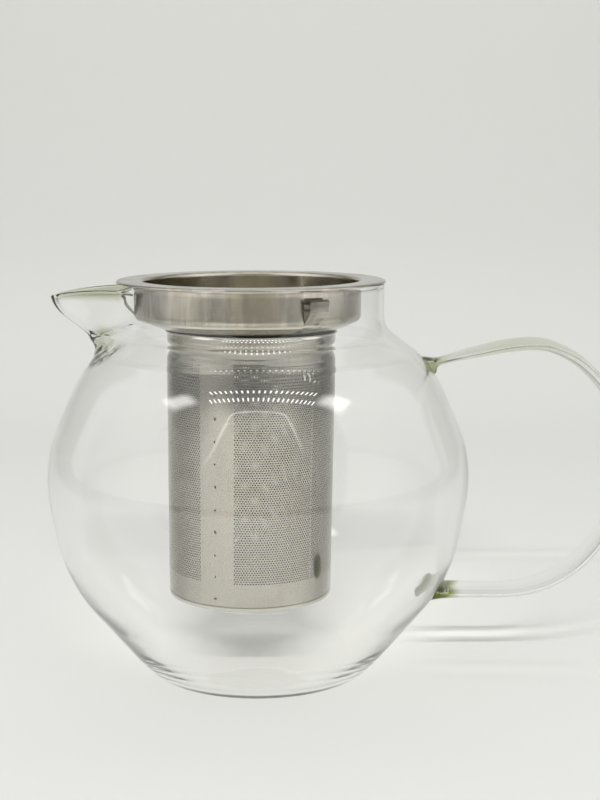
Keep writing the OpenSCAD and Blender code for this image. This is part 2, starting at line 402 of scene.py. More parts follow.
def glass_material(name, tinted, shade_mid, shade_edge, rim_tint=0.0, ribbon=0.0):
    """Clear blown glass: a refracting body under a reflecting skin, with painted reflections of
    the roof lamps that the glass emits itself.
    tinted lists (centre mm, radius mm, strength) of the thick, greener places. Shadow rays see
    a plain filter, shade_mid face-on and shade_edge at grazing angles, or, for a ribbon of the
    given width, in its middle and along its edges."""
    mat = bpy.data.materials.new(name)
    t = Tree(mat)
    p = t.place()
    tint = t.mul(t.span(t.noise(p, 30.0), 0.55, 0.8), 0.015)
    for centre, radius, strength in tinted:
        tint = t.add(tint, t.mul(t.near(p, centre, radius), strength))
    if rim_tint:
        x, _, z = t.xyz(p)
        rim = t.mul(t.span(z, (RIM_Z - 6.5) * MM, (RIM_Z - 3.0) * MM),
                     t.span(x, -41.5 * MM, -46.0 * MM))
        tint = t.add(tint, t.mul(rim, rim_tint), clamp=True)
    colour = t.mix(tint, rgba(0.998, 0.999, 0.997), rgba(0.33, 0.38, 0.08))
    wave = t.noise(p, 24.0, 1.0, 0.4)
    normal = t.bump(wave, 0.12, 0.0011)
    body = t.node("ShaderNodeBsdfRefraction", Color=colour, Roughness=0.0, IOR=GLASS_IOR,
                  Normal=normal)
    skin = t.node("ShaderNodeBsdfAnisotropic", Color=rgba(1, 1, 1), Roughness=0.055,
                  Normal=normal)
    fresnel = t.node("ShaderNodeFresnel", IOR=GLASS_IOR, Normal=normal)
    glass = t.node("ShaderNodeMixShader", i0=fresnel, i1=body, i2=skin)
    # painted reflection: the glass glows with the roof lamps' mirror image
    painted_reflection = t.node("ShaderNodeEmission", Color=rgba(1.0, 0.99, 0.96),
                  Strength=t.mul(painted_lamp_glints(t, normal), fresnel))
    glass = t.node("ShaderNodeAddShader", i0=glass, i1=painted_reflection)
    if ribbon:
        edge = t.span(t.abs(t.xyz(p)[1]), 0.22 * ribbon * MM, 0.36 * ribbon * MM)
    else:
        edge = t.math("POWER", t.node("ShaderNodeLayerWeight", 1, Blend=0.35), 1.6)
    shade = t.mix(edge, rgba(*shade_mid), rgba(*shade_edge))
    clear = t.node("ShaderNodeBsdfTransparent", Color=shade)
    path = t.light_path()
    soft = t.math("MAXIMUM", path["Is Shadow Ray"], path["Is Diffuse Ray"])
    output(t, t.node("ShaderNodeMixShader", i0=soft, i1=glass, i2=clear))
    return mat


def round_coords(t, p):
    """(radius, angle, height) about the infuser's axis."""
    x, y, z = t.xyz(t.vmath("SUBTRACT", p, (AXIS_X * MM, 0.0, 0.0)))
    r = t.math("SQRT", t.add(t.mul(x, x), t.mul(y, y)))
    return r, t.math("ARCTAN2", y, x), z


# painted light and shade for the mouth's inside face: lighter in its middle, darker at its ends
MOUTH_INSIDE_PAINTED_LIGHT, MOUTH_INSIDE_PAINTED_SHADE = rgba(0.78, 0.745, 0.64), rgba(0.42, 0.395, 0.335)
# painted shade for the collar's hollows
HOLLOW_PAINTED_SHADE = rgba(0.17, 0.155, 0.13)
# painted shade for the collar's neck in the crevice over the basket's lip
CREVICE_PAINTED_SHADE = rgba(0.03, 0.026, 0.022)
# painted shade for the basket's inner side and hole walls
INNER_SIDE_PAINTED_SHADE = rgba(0.13, 0.12, 0.10)
# the cap's dark joint line, and a painted highlight for its rounded edge
JOINT_LINE, CAP_EDGE_PAINTED_HIGHLIGHT = rgba(0.10, 0.09, 0.075), rgba(0.86, 0.845, 0.79)


def step(t, z, lo, hi, to_lo=0.0, to_hi=1.0):
    """A soft step between two heights, given from the flange's top (mm)."""
    return t.span(z, (FLANGE_Z + lo) * MM, (FLANGE_Z + hi) * MM, to_lo, to_hi)


def collar_shading(t, colour, p, coords, grazing):
    """Painted shade at grazing angles, streaks round the collar, painted light and shade on the
    mouth's inside face, and painted shade in the hollows, on the fingers' tops and on the neck
    down in the crevice.
    """
    r, angle, z = coords
    # painted shade: the collar darkens further at grazing angles
    colour = t.mix(t.span(grazing, 0.68, 0.82, 0.0, 0.25), colour, BLACK)
    streak = t.noise(t.node("ShaderNodeCombineXYZ", X=angle, Y=t.mul(r, 6.0), Z=t.mul(z, 4.0)),
                     9.0, 3.0, 0.6)
    colour = t.mix(t.span(streak, 0.40, 0.62, 0.0, 0.22), colour, rgba(0.10, 0.09, 0.08))
    # painted light and shade on the mouth's inside face: lighter towards front and back, darker at
    # the sides
    inside = t.mul(t.span(r, (MOUTH_R + 0.25) * MM, (MOUTH_R + 0.1) * MM),
                   t.span(r, (MOUTH_R - 0.9) * MM, (MOUTH_R - 0.4) * MM))
    ends = t.span(t.abs(t.math("COSINE", angle)), 0.45, 0.85)
    colour = t.mix(inside, colour, t.mix(ends, MOUTH_INSIDE_PAINTED_LIGHT, MOUTH_INSIDE_PAINTED_SHADE))
    # painted shade on faces turned to the axis, low in the far half
    flat = t.vmath("MULTIPLY", t.vmath("SUBTRACT", p, (AXIS_X * MM, 0.0, 0.0)), (1, 1, 0))
    normal = t.node("ShaderNodeNewGeometry", 1)
    turned = t.div(t.vmath("DOT_PRODUCT", normal, flat, out=1), r)
    hollow_shade = t.mul(t.span(turned, -0.08, -0.25), step(t, z, -10.0, -11.2))
    hollow_shade = t.mul(hollow_shade, t.span(t.xyz(flat)[1], -2 * MM, 6 * MM, 0.15, 1.0))
    colour = t.mix(hollow_shade, colour, HOLLOW_PAINTED_SHADE)
    # the fingers' tops, in the flange's shade
    sheltered = t.mul(t.span(r, (WALL_R + 0.9) * MM, (WALL_R + 1.7) * MM),
                      t.mul(step(t, z, -8.4, -7.0), step(t, z, -3.4, -3.9)))
    colour = t.mix(t.mul(sheltered, 0.48), colour, BLACK)
    # painted shade: the collar's neck below the cone is near black, down in the crevice
    return t.mix(step(t, z, -16.05, -16.45), colour, CREVICE_PAINTED_SHADE)


def sheet_shading(t, colour, p, z):
    """Painted shade on the basket's inner side and hole walls and on its upper band, the cap's
    dark joint line and a painted highlight along the cap's edge.
    """
    sine = math.sin(math.radians(LEAN))
    lean_x = t.mul(t.sub(z, (FLANGE_Z + LIP_TOP) * MM), sine)
    q = t.vmath("SUBTRACT", p, (AXIS_X * MM, 0.0, 0.0))
    q = t.vmath("SUBTRACT", q, t.node("ShaderNodeCombineXYZ", X=lean_x, Y=0.0, Z=z))
    from_axis = t.vmath("LENGTH", q, out=1)
    taper = (TUBE_END_R - TUBE_T / 2 - TUBE_TOP_R) / (TUBE_END - GROOVE_Z)
    depth = t.sub(z, (FLANGE_Z + GROOVE_Z) * MM)
    middle = t.add(t.mul(depth, taper), TUBE_TOP_R * MM)
    # painted shade on the sheet's inner face and hole walls, in the perforated rows
    inner = t.span(t.sub(from_axis, middle), 0.14 * MM, 0.05 * MM)
    holed = t.mul(step(t, z, HOLES_TOP, HOLES_TOP - 0.4), step(t, z, HOLES_END, HOLES_END + 0.4))
    inner = t.mul(t.mul(inner, holed), t.span(t.abs(depth), 2.4 * MM, 3.3 * MM))
    colour = t.mix(inner, colour, INNER_SIDE_PAINTED_SHADE)
    # painted shade on the basket's upper band, below the collar
    shade = t.mul(step(t, z, -21, -26), step(t, z, -46, -33))
    colour = t.mix(t.mul(shade, 0.33), colour, BLACK)
    tilt = t.mul(t.sub(t.xyz(p)[0], AXIS_X * MM), sine)
    level = t.sub(t.add(z, tilt), (FLANGE_Z + CAP_JOINT) * MM)
    colour = t.mix(t.span(t.abs(level), 0.34 * MM, 0.10 * MM, 0.0, 0.55), colour, JOINT_LINE)
    # painted highlight: a pale line along the cap's rounded edge below the joint
    return t.mix(t.span(level, -0.30 * MM, -0.50 * MM, 0.0, 0.55), colour, CAP_EDGE_PAINTED_HIGHLIGHT)


def steel_material(name, base, dull, spun, stain, edge, grain=1.0, sheet=False):
    """Polished stainless sheet: spun marks round the axis, faint stains and hairline scratches.
    edge is the strength of painted shade where it is seen at a grazing angle; sheet is the
    basket's etched sheet."""
    mat = bpy.data.materials.new(name)
    t = Tree(mat)
    p = t.place()
    r, angle, z = coords = round_coords(t, p)
    ring = t.node("ShaderNodeCombineXYZ", X=r, Y=t.mul(angle, 0.0012), Z=z)
    spun_lines = t.noise(ring, 5200.0, 2.0, 0.6)
    upright = t.node("ShaderNodeCombineXYZ", X=t.mul(angle, 0.03), Y=t.mul(r, 0.2),
                     Z=t.mul(z, 0.05))
    grain_lines = t.noise(upright, 4200.0, 2.0, 0.55)
    blotch = t.noise(p, 55.0, 4.0, 0.6, 0.6)
    spots = t.noise(p, 420.0, 2.0, 0.7)
    stained = t.mul(t.span(blotch, 0.46, 0.72), stain)
    colour = t.mix(stained, rgba(*base), rgba(base[0] * 0.82, base[1] * 0.79, base[2] * 0.72))
    colour = t.mix(t.mul(t.span(spots, 0.68, 0.78), 0.35), colour, rgba(0.30, 0.26, 0.20))
    # painted shade: the metal's colour darkens towards grazing angles
    grazing = t.node("ShaderNodeLayerWeight", 1, Blend=0.5)
    colour = t.mix(t.span(grazing, 0.12, 0.60, 0.0, edge), colour, BLACK)
    rough = t.span(blotch, 0.3, 0.75, dull, dull + 0.09)
    if sheet:
        colour = sheet_shading(t, colour, p, z)
    else:
        colour = collar_shading(t, colour, p, coords, grazing)
        rough = t.add(rough, t.mul(spun_lines, 0.05))
    normal = t.bump(spun_lines, spun, 0.00004)
    normal = t.bump(grain_lines, 0.06 * grain, 0.00003, normal)
    normal = t.bump(t.noise(p, 48.0, 1.0, 0.4), 0.10, 0.0008, normal)
    bsdf = t.node("ShaderNodeBsdfPrincipled", Base_Color=colour, Metallic=1.0, Roughness=rough,
                  Normal=normal)
    output(t, bsdf)
    return mat


def weld_material():
    """The dark oxide of a small spot weld, straw-coloured at its edge."""
    mat = bpy.data.materials.new("weld_oxide")
    t = Tree(mat)
    p = t.place()
    burn = t.noise(p, 1500.0, 3.0, 0.6)
    colour = t.mix(t.span(burn, 0.35, 0.65), rgba(0.06, 0.045, 0.035), rgba(0.30, 0.24, 0.16))
    bsdf = t.node("ShaderNodeBsdfPrincipled", Base_Color=colour, Metallic=0.9,
                  Roughness=t.span(burn, 0.3, 0.7, 0.3, 0.55), Normal=t.bump(burn, 0.5, 0.0001))
    output(t, bsdf)
    return mat


# the paper's colour, and the painted light behind the pot and painted shade up the wall, as shares
# of it
PAPER = (0.83, 0.836, 0.825)
PAPER_BACK_PAINTED_LIGHT = 1.05
PAPER_WALL_PAINTED_SHADE = 0.95
DIM = rgba(0.16, 0.15, 0.125)


def paper_material():
    """Pale seamless paper. What is mirrored of it is dimmer aside and ahead, where the tent's
    light falls off and the key lamp doesn't show."""
    mat = bpy.data.materials.new("pale_paper")
    t = Tree(mat)
    p = t.place()
    x, y, z = t.xyz(p)
    fibre = t.noise(p, 700.0, 3.0, 0.6)
    cloud = t.noise(p, 2.0, 2.0, 0.5)
    colour = t.mix(cloud, rgba(*PAPER), rgba(*(c * 1.02 for c in PAPER)))
    # painted light on the floor behind the pot, painted shade up the wall
    for share, amount in ((PAPER_BACK_PAINTED_LIGHT, t.span(y, -0.12, -0.02)),
                          (PAPER_WALL_PAINTED_SHADE, t.span(z, 0.01, 0.15))):
        colour = t.mix(amount, colour, rgba(*(c * share for c in PAPER)))
    aside = t.span(t.abs(x), 0.36, 0.60, 0.0, 0.40)
    ahead = t.sub(t.span(y, -0.42, -0.80, 0.0, 0.86), t.span(y, -0.92, -1.15, 0.0, 0.36))
    far = t.math("MAXIMUM", aside, ahead)
    mirrored = t.math("GREATER_THAN", t.light_path()["Glossy Depth"], 0.5)
    colour = t.mix(t.mul(far, mirrored), colour, DIM)
    under_key = t.sub(t.span(y, -0.43, -0.80, 0.0, 0.58), t.span(y, -1.0, -1.45, 0.0, 0.33))
    colour = t.mix(t.mul(under_key, mirrored), colour, BLACK)
    bsdf = t.node("ShaderNodeBsdfPrincipled", Base_Color=colour,
                  Roughness=t.span(fibre, 0.3, 0.7, 0.62, 0.72),
                  Normal=t.bump(fibre, 0.08, 0.0002), Specular_IOR_Level=0.2)
    output(t, bsdf)
    return mat


# ------------------------------------------------------------------ the glass pot
PROFILE = [(38.6, 1.7), (42.3, 5.5), (47.3, 11.5), (53.79, 19.5), (61.47, 29.5), (66.99, 41.5),
           (70.02, 55.5), (71.2, 66.5), (70.25, 76.5), (68.05, 83.5), (62.83, 95.5),
           (58.41, 103.5), (53.06, 109.5)]
FOOT = [(0.5, 1.3), (8, 1.22), (15, 0.95), (21, 0.55), (27, 0.15), (32, 0.0), (36.2, 0.4)]
GLASS_T = 1.8
LOWER_T = 1.7
NECK_R = 42.2
NECK_T = 2.0
BASE_T = 2.6
SPOUT_REACH = 69.5
SPOUT_HALF = 27.0
SPOUT_Z = 105.0
SPOUT_DROP = 4.6
SPOUT_FULL = 27.3
SPOUT_ADD = np.array([(SPOUT_Z, 0), (107.0, 0.5), (109.0, 1.8), (111.0, 4.1), (113.0, 7.2),
                      (114.8, 10.4), (116.6, 13.2), (119.5, 17.2), (122.5, 20.8), (126, 24.4),
                      (129.2, 26.4), (131.5, 27.1), (133.4, SPOUT_FULL)])
TIP_ROUND = 4.0
FILLET = 3.0


def globe_radius(z):
    """Outer radius of the globe at a height."""
    path = catmull(FOOT + PROFILE, 9)
    return np.interp(z, path[:, 1], path[:, 0])


def glass_profile():
    """Outline of the pot's wall: the outside from the foot's middle up, then the inside down."""
    base = catmull(FOOT + PROFILE, 9)
    top = base[-1]
    shoulder = bend(top, (47.6, 113.3), (45.6, 115.2), 8)
    neck_in = bend((45.6, 115.2), (NECK_R + 0.1, 117.4), (NECK_R, 121.2), 10)
    bead = NECK_T / 2 + 0.08
    centre = (NECK_R - NECK_T / 2, RIM_Z - bead)
    outer = join(base, shoulder, neck_in, line((NECK_R, 121.2), (NECK_R, RIM_Z - 1.8), 10),
                 arc(centre, bead, -12, 90, 8))
    wall = join(base, shoulder, neck_in)
    thick = np.interp(wall[:, 1], [0, 2, 12, 40, 100, 118],
                      [BASE_T, BASE_T, 2.1, LOWER_T, GLASS_T, NECK_T])
    wall = (wall + left_normals(wall) * thick[:, None])[::-1]
    wall = wall[wall[:, 0] > 0.4]
    inner = join(arc(centre, bead, 100, 192, 7),
                 line((NECK_R - NECK_T, RIM_Z - 1.8), (NECK_R - NECK_T, 121.4), 10), wall)
    return join(outer, inner)


def soft(u):
    return (u + np.sqrt(u * u + FILLET * FILLET)) / 2


def outside(a):
    """How far the V's side stands outside the neck at an angle (degrees) from -X."""
    e = np.sqrt(a * a + TIP_ROUND ** 2) - TIP_ROUND
    return (SPOUT_REACH * math.sin(math.radians(SPOUT_HALF))
            / np.sin(np.radians(np.minimum(SPOUT_HALF + e, 90))) - NECK_R)


def spread(a):
    """Share of the spout at an angle from -X: 1 at the tip, 0 on the plain ring."""
    b = np.abs((a + 180) % 360 - 180)
    low = soft(outside(90.0))
    return np.where(b >= 90 - SPOUT_HALF, 0, (soft(outside(b)) - low)
                    / (soft(SPOUT_REACH - NECK_R) - low))


def drop(w):
    """Share of the rim's drop: a step where the spout leaves the neck, the rest near the tip."""
    t = np.minimum(1, w / 0.25)
    return 0.45 * t * t * (3 - 2 * t) + 0.55 * w ** 3


def glass_points(profile, a):
    w = spread(a)[None, :]
    z = profile[:, 1][:, None]
    add_path = catmull(SPOUT_ADD, 8)
    add = np.interp(z, add_path[:, 0], add_path[:, 1]) * (SPOUT_REACH - NECK_R) / SPOUT_FULL
    r = profile[:, 0][:, None] + np.where(z > SPOUT_Z, add, 0) * w
    zz = z - SPOUT_DROP * drop(w) * np.clip(z - SPOUT_Z, 0, None) / (RIM_Z - SPOUT_Z)
    c, s = np.cos(np.radians(a))[None, :], np.sin(np.radians(a))[None, :]
    return np.stack([-r * c, r * s, zz + 0 * c], -1)


def glass_body():
    edge = 90 - SPOUT_HALF
    a = np.r_[np.linspace(-edge, edge, 150, endpoint=False),
              np.linspace(edge, 360 - edge, 150, endpoint=False)]
    profile = glass_profile()
    v = glass_points(profile, a)
    m, n = len(profile), len(a)
    verts = np.vstack([v.reshape(-1, 3), [[0, 0, FOOT[0][1]]], [[0, 0, FOOT[0][1] + BASE_T]]])
    ob = outward(mesh_object("glass_body", verts, grid_quads(m, n, False, True), fans(m, n),
                             sharp=None))
    tinted = [((58, 0, 104), 6, 0.5), ((-55, -8, 110.5), 8, 0.55), ((-54, 6, 111.5), 7, 0.5),
              ((-57, -2, 108), 7, 0.55), ((62, -4, 24), 9, 0.6), ((-50, -30, 20), 10, 0.05)]
    material = glass_material("clear_glass", tinted, (1.09, 1.09, 1.085), (0.95, 0.955, 0.94),
                              rim_tint=0.30)
    return finish_piece(ob, "pot", "clear_glass", material, "glass_body")


HANDLE_PATH = [(56.2, 104.3), (59.4, 105.4), (63.2, 106.5), (68.5, 107.9), (74.7, 109.3),
               (83, 111.0), (91.5, 111.8), (98.6, 110.9), (107.5, 106.4), (115.6, 98.2),
               (122, 86.5), (125.3, 72), (123.4, 58), (117.3, 46), (109.6, 36.6),
               (101, 30.6), (93, 27.6), (85, 26.4), (76, 26.3), (66, 26.3), (58.6, 26.3)]
# share of the path, width share, thickness mm
HANDLE_FORM = np.array([(0, 0.46, 6.4), (0.010, 0.46, 5.2), (0.022, 0.50, 2.8),
                        (0.04, 0.60, 2.4), (0.08, 0.84, 2.9), (0.13, 0.97, 3.5),
                        (0.20, 1.0, 3.9), (0.30, 1.0, 3.9), (0.45, 1.0, 3.4), (0.60, 1.0, 3.1),
                        (0.93, 1.0, 3.1), (0.965, 1.0, 3.4), (0.985, 0.98, 4.8),
                        (1.0, 0.95, 7.4)])
WELD_REACH = 3.2


def glass_handle():
    """A flat ribbon of glass with rounded edges, pinched and fused to the globe at its ends."""
    path = catmull(HANDLE_PATH, 14)
    n = left_normals(path)
    s = np.r_[0, np.cumsum(np.hypot(*np.diff(path, axis=0).T))]
    length = s[-1]
    form = catmull(HANDLE_FORM, 10)
    width = np.interp(s / length, form[:, 0], form[:, 1]) * HANDLE_W / 2
    thick = np.interp(s / length, form[:, 0], form[:, 2]) / 2
    ring = 40
    a = np.linspace(0, 2 * math.pi, ring, endpoint=False)
    ca, sa = np.cos(a), np.sin(a)
    across = np.sign(ca) * np.abs(ca) ** 0.70
    out = np.sign(sa) * np.abs(sa) ** 0.95
    v = np.zeros((len(path), ring, 3))
    v[:, :, 0] = path[:, 0, None] + n[:, 0, None] * thick[:, None] * out
    v[:, :, 2] = path[:, 1, None] + n[:, 1, None] * thick[:, None] * out
    v[:, :, 1] = width[:, None] * across
    # towards each end the section turns to lie on the globe's surface
    near_end = np.exp(-(np.minimum(s, length - s) / WELD_REACH) ** 2)[:, None]
    surface = np.sqrt(globe_radius(v[:, :, 2]) ** 2 - v[:, :, 1] ** 2)
    middle = globe_radius(path[:, 1])[:, None]
    v[:, :, 0] += (surface - middle) * near_end
    m = len(path)
    verts = np.vstack([v.reshape(-1, 3), v[0].mean(0)[None], v[-1].mean(0)[None]])
    ob = outward(mesh_object("glass_handle", verts, grid_quads(m, ring, False, True),
                             fans(m, ring), sharp=60))
    tinted = [((58.3, 0, 105.0), 6, 0.7), ((58.3, 0, 105.0), 11, 0.4), ((88, 0, 111), 38, 0.22)]
    tinted += [((58.5 + 0.9 * k, -8 + 2.3 * k, 24.6 + 0.5 * k), 7, 0.7) for k in range(8)]
    material = glass_material("handle_glass", tinted, (1.20, 1.20, 1.18), (0.42, 0.43, 0.41),
                              ribbon=HANDLE_W)
    return finish_piece(ob, "pot", "clear_glass", material, "glass_handle")


# ------------------------------------------------------------------ the infuser's collar
SHEET_T = 0.6
WALL_R = MOUTH_R + SHEET_T / 2
FINGER_W = 6.6
FINGER_GAP = 0.12
ROOT_GAP = 0.33
WINDOW_TOP = -3.6
CONE_TOP = (34.4, -13.6)
CONE_END = (28.9, -16.02)
NECK_END = -18.9


def collar_path():
    r_in = (TUBE_HI[0] - TUBE_LO[0]) / 2 - 0.5 - 0.35 - 0.35
    hem = arc((FLANGE_R - 0.85, -0.3 - 0.55), 0.55, 5, 90, 6)
    top = line((FLANGE_R - 0.9, -0.3), (WALL_R + 0.8, -0.3), 10)
    mouth = arc((WALL_R + 0.8, -1.1), 0.8, 90, 180, 8)
    wall = join(line((WALL_R, -1.1), (WALL_R, WINDOW_TOP), 5),
                line((WALL_R, WINDOW_TOP), (WALL_R, -11.0), 8))
    corner = bend((WALL_R, -11.0), (WALL_R, -13.0), CONE_TOP, 8)
    cone = line(CONE_TOP, CONE_END, 10)
    neck = bend(CONE_END, (27.72, -16.5), (27.72, -17.3), 6)
    return join(hem, top, mouth, wall, corner, cone, neck,
                line((27.72, -17.3), (27.72, NECK_END), 2))


FINGERS = ("spout", "front")


def finger_dirs():
    """Direction of each finger about the infuser's axis, its root radius and height."""
    out = {}
    for k in FINGERS:
        x, y, z = JOINTS[f"finger_{k}_flex"]["pos_m"]
        x = x / MM - AXIS_X
        y = y / MM
        out[k] = (math.atan2(y, x), math.hypot(x, y), z / MM - FLANGE_Z)
    return out


def collar_columns(r, dirs, half_w, per_side, inside):
    """Angles of the grid's columns at radius r: the same ones always edge the windows."""
    cols = []
    third = math.pi / 3
    for d in dirs:
        e = math.asin(min(half_w / r, 0.9))
        cols.append(d + np.linspace(-third, -e, per_side, endpoint=False))
        cols.append(d + np.linspace(-e, e, inside, endpoint=False))
        cols.append(d + np.linspace(e, third, per_side, endpoint=False))
    return np.concatenate(cols)


def infuser_collar(material):
    path = collar_path()
    n = left_normals(path)
    fingers = list(finger_dirs().values())
    # three equal sectors: the last has no finger, so no window
    order = [f[0] for f in fingers] + [fingers[-1][0] + 2 * math.pi / 3]
    root_r = fingers[0][1]
    half_w = FINGER_W / 2 + FINGER_GAP
    per_side, inside = 24, 5
    a = np.array([collar_columns(p[0], order, half_w, per_side, inside) for p in path])
    cols = a.shape[1]
    sector = 2 * per_side + inside
    j = np.arange(cols) % sector
    in_window = (j >= per_side) & (j < per_side + inside) & (np.arange(cols) < 2 * sector)
    mid = (path[:-1] + path[1:]) / 2
    row_open = (mid[:, 1] < WINDOW_TOP) & (mid[:, 0] > root_r - ROOT_GAP)
    present = ~(row_open[:, None] & in_window[None, :])
    return thick_grid("infuser_collar", path, n, a, present, SHEET_T)


def thick_grid(name, path, n, a, present, t, close_cols=True):
    """A turned sheet on a grid of rows (path points) and columns (angles), with cells left out.
    Both faces, and a wall round every opening, so the sheet is closed."""
    rows, cols = a.shape
    v = []
    for s in (1, -1):
        q = path + n * t / 2 * s
        v.append(around(q[:, 0, None], a, q[:, 1, None]).reshape(-1, 3))
    verts = np.vstack(v)
    top = rows * cols
    quads = grid_quads(rows, cols, False, close_cols).reshape(rows - 1, -1, 4)
    keep = quads[present]
    faces = [keep, keep[:, ::-1] + top]
    count = {}
    for q in keep:
        for e in zip(q, np.roll(q, -1)):
            count[(int(e[0]), int(e[1]))] = True
    wall = [(b, a_, a_ + top, b + top) for (a_, b) in count if (b, a_) not in count]
    faces.append(np.array(wall))
    return outward(mesh_object(name, verts, np.vstack(faces), sharp=42))


# ------------------------------------------------------------------ the spring fingers
FINGER_T = 0.5
REACH = {"spout": 42.6, "front": 40.4}


def finger_line(root_r, root_z, reach, held):
    """Mid-line of a finger. A held finger is pressed in by the neck, most of all at its top."""
    bow = [(0.2, -11.6), (1.2, -10.8), (2.5, -9.9), (3.6, -8.9), (4.45, -8.0), (4.65, -7.0),
           (4.8, -6.2), (5.3, -5.5), (5.75, -4.95), (5.4, -4.5), (4.4, -4.4), (1.3, -4.9)]
    tip = reach - FINGER_T / 2 - WALL_R
    pull = 0.18 if held else 0.0
    k = (tip + pull * 3.05) / 5.75
    knots = [(root_r, root_z), (root_r + 2.8, root_z + 1.22), (35.2, -12.95)]
    knots += [(WALL_R + x * k - pull * max(0.0, z + 8), z) for x, z in bow]
    return catmull(knots, 5)


def finger(key, material):
    angle, root_r, root_z = finger_dirs()[key]
    mid = finger_line(root_r, root_z, REACH[key], key != "spout")
    loop = sheet_loop(mid, FINGER_T)
    half = FINGER_W / 2
    blunt = 0.09
    slices = [(-half, blunt), (-half + blunt * 0.3, blunt * 0.3), (-half + blunt, 0),
              (half - blunt, 0), (half - blunt * 0.3, blunt * 0.3), (half, blunt)]
    n = left_normals(np.vstack([loop[-1], loop, loop[0]]))[1:-1]
    rows = []
    for y, inset in slices:
        rows.append(np.c_[loop[:, 0] + n[:, 0] * inset, np.full(len(loop), y),
                          loop[:, 1] + n[:, 1] * inset])
    v = np.array(rows)
    m, k = v.shape[:2]
    c, s = math.cos(angle), math.sin(angle)
    flat = v.reshape(-1, 3)
    verts = np.c_[AXIS_X + flat[:, 0] * c - flat[:, 1] * s, flat[:, 0] * s + flat[:, 1] * c,
                  FLANGE_Z + flat[:, 2]]
    quads = grid_quads(m, k, False, True)
    last = 2 * len(mid) + 5             # the loop's last point, three of them round each end
    cap, ends = [], []
    for base in (0, (m - 1) * k):
        for i in range(len(mid) - 1):
            cap.append((base + i, base + i + 1, base + last - 4 - i, base + last - 3 - i))
        for e in (range(len(mid) - 1, len(mid) + 4), (*range(last - 3, last + 1), 0)):
            ends += [(base + e[0], base + e[i], base + e[i + 1]) for i in range(1, 4)]
    ob = outward(mesh_object(f"finger_{key}", verts, np.vstack([quads, cap]), ends, sharp=38))
    return finish_piece(ob, f"finger_{key}_body", "polished_steel", material, f"finger_{key}")


# ------------------------------------------------------------------ the basket
TUBE_T = 0.3
TUBE_TOP_R = (TUBE_HI[0] - TUBE_LO[0]) / 2 - 0.5 - 0.18
TUBE_END_R = 27.75
LIP_TOP = -16.5
GROOVE_Z = -24.4
HOLES_TOP = -26.4
HOLES_END = -97.6
TUBE_END = -BASKET_DEPTH + 0.9
CAP_JOINT = TUBE_END + 0.75
LEAN = 0.6
SEAM_AZ = -22.3
SEAM_FROM, SEAM_TO = -32.3, -9.6
HOLES_ROUND = 198
HOLE_R = 0.25
HOLE_TAPER = 0.64
SHEETS = 6
# nominal radius of the sheet, for lengths along it
MID_R = 28.0


def lip_profile():
    """Mid-line of the tube's rolled lip: (radius, height below the flange)."""
    r = TUBE_TOP_R
    return np.vstack([arc((r + 0.32, LIP_TOP - 0.87), 0.3, 150, -90, 8),
                      bend((r + 0.3, LIP_TOP - 1.2), (r, LIP_TOP - 1.25),
                           (r, LIP_TOP - 1.7), 4)])


def tube_radius(z):
    """Mid-line radius against height below the flange, with the pressed groove."""
    z = np.asarray(z, float)
    r = TUBE_TOP_R + (TUBE_END_R - TUBE_T / 2 - TUBE_TOP_R) * np.clip(
        (z - GROOVE_Z) / (TUBE_END - GROOVE_Z), 0, 1)
    return r - 0.95 * np.exp(-((z - GROOVE_Z) / 1.4) ** 2)


def lean(v):
    """The basket hangs slightly out of square, leaning about its lip."""
    a = math.radians(LEAN)
    c, s = math.cos(a), math.sin(a)
    x, z = v[..., 0] - AXIS_X, v[..., 2] - (FLANGE_Z + LIP_TOP)
    out = v.copy()
    out[..., 0] = AXIS_X + x * c + z * s
    out[..., 2] = FLANGE_Z + LIP_TOP - x * s + z * c
    return out


def tube_point(theta, z, side):
    """A point on the tube's outer (1) or inner (-1) face."""
    r = tube_radius(z)
    dz = 0.02
    slope = (tube_radius(z + dz) - tube_radius(z - dz)) / (2 * dz)
    k = 1 / np.sqrt(1 + slope ** 2)
    return around(r + side * TUBE_T / 2 * k, theta, z - side * TUBE_T / 2 * slope * k)


def az(deg):
    """Angle about +Z of a direction measured from -Y towards +X."""
    return math.radians(deg - 90)


def row_heights():
    pitch = (360.0 / HOLES_ROUND) * math.pi / 180 * MID_R * 0.866
    m = int(round((HOLES_TOP - HOLES_END) / pitch))
    return np.linspace(HOLES_TOP, HOLES_END, m + 1)


def plain_heights():
    """Heights of the plain bands above and below the holes."""
    above = np.linspace(LIP_TOP - 1.7, HOLES_TOP, 34)
    below = np.linspace(HOLES_END, TUBE_END, 8)
    return above, below


class Weave:
    """Collects vertices and faces of a sheet in pairs: the outer face and the inner one."""

    def __init__(self):
        self.outer, self.inner, self.n = [], [], 0
        self.face, self.through = [], []

    def points(self, o, i):
        o, i = o.reshape(-1, 3), i.reshape(-1, 3)
        start = self.n
        self.outer.append(o)
        self.inner.append(i)
        self.n += len(o)
        return np.arange(start, self.n)

    def quads(self, q):
        self.face.append(np.asarray(q).reshape(-1, 4))

    def walls(self, edges):
        """Edges (a, b) with the sheet on their left get a wall between the two faces."""
        self.through.append(np.asarray(edges).reshape(-1, 2))

    def build(self, name):
        f = np.vstack(self.face)
        e = np.vstack(self.through)
        verts = lean(np.vstack(self.outer + self.inner))
        quads = np.vstack([f, f[:, ::-1] + self.n,
                           np.stack([e[:, 1], e[:, 0], e[:, 0] + self.n, e[:, 1] + self.n], -1)])
        return mesh_object(name, verts, quads, sharp=50)


def both(w, theta, z):
    t, zz = np.broadcast_arrays(theta, z)
    return w.points(tube_point(t, zz, 1), tube_point(t, zz, -1)).reshape(t.shape)


